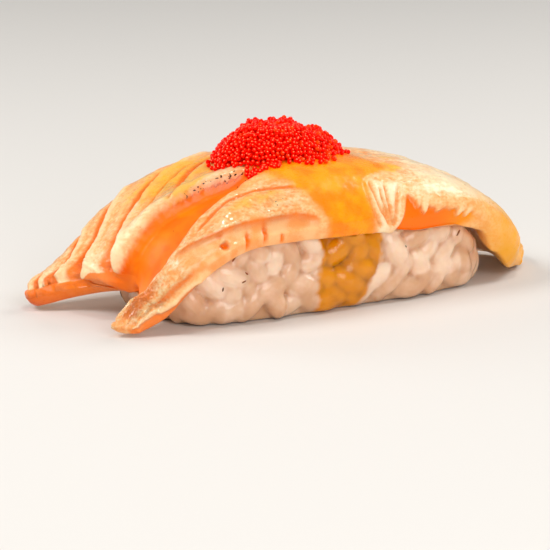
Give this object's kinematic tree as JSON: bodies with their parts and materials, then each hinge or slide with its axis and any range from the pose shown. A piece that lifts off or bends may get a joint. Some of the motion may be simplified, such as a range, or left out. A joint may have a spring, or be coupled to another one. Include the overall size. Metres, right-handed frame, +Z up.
{
  "type": "seared salmon nigiri",
  "caption": "Pressed finger of rice with a seared salmon slice draped over it and a mound of flying fish roe on top.",
  "frame": {"origin": "middle of the whole piece's bounding box, on the flat underside of the rice", "axes": "+Z up, +X along the slice towards its single pointed end, -X towards its two parted tails, -Y towards the front flank"},
  "size_m": [0.0862, 0.032, 0.0284],
  "materials": {
    "rice": "moist, translucent cooked rice",
    "salmon": "seared, oily salmon flesh with a thin glaze",
    "roe": "wet, glossy fish eggs"
  },
  "bodies": {
    "root": {"rice": "rice", "salmon": "salmon", "roe": "roe"}
  },
  "joints": []
}
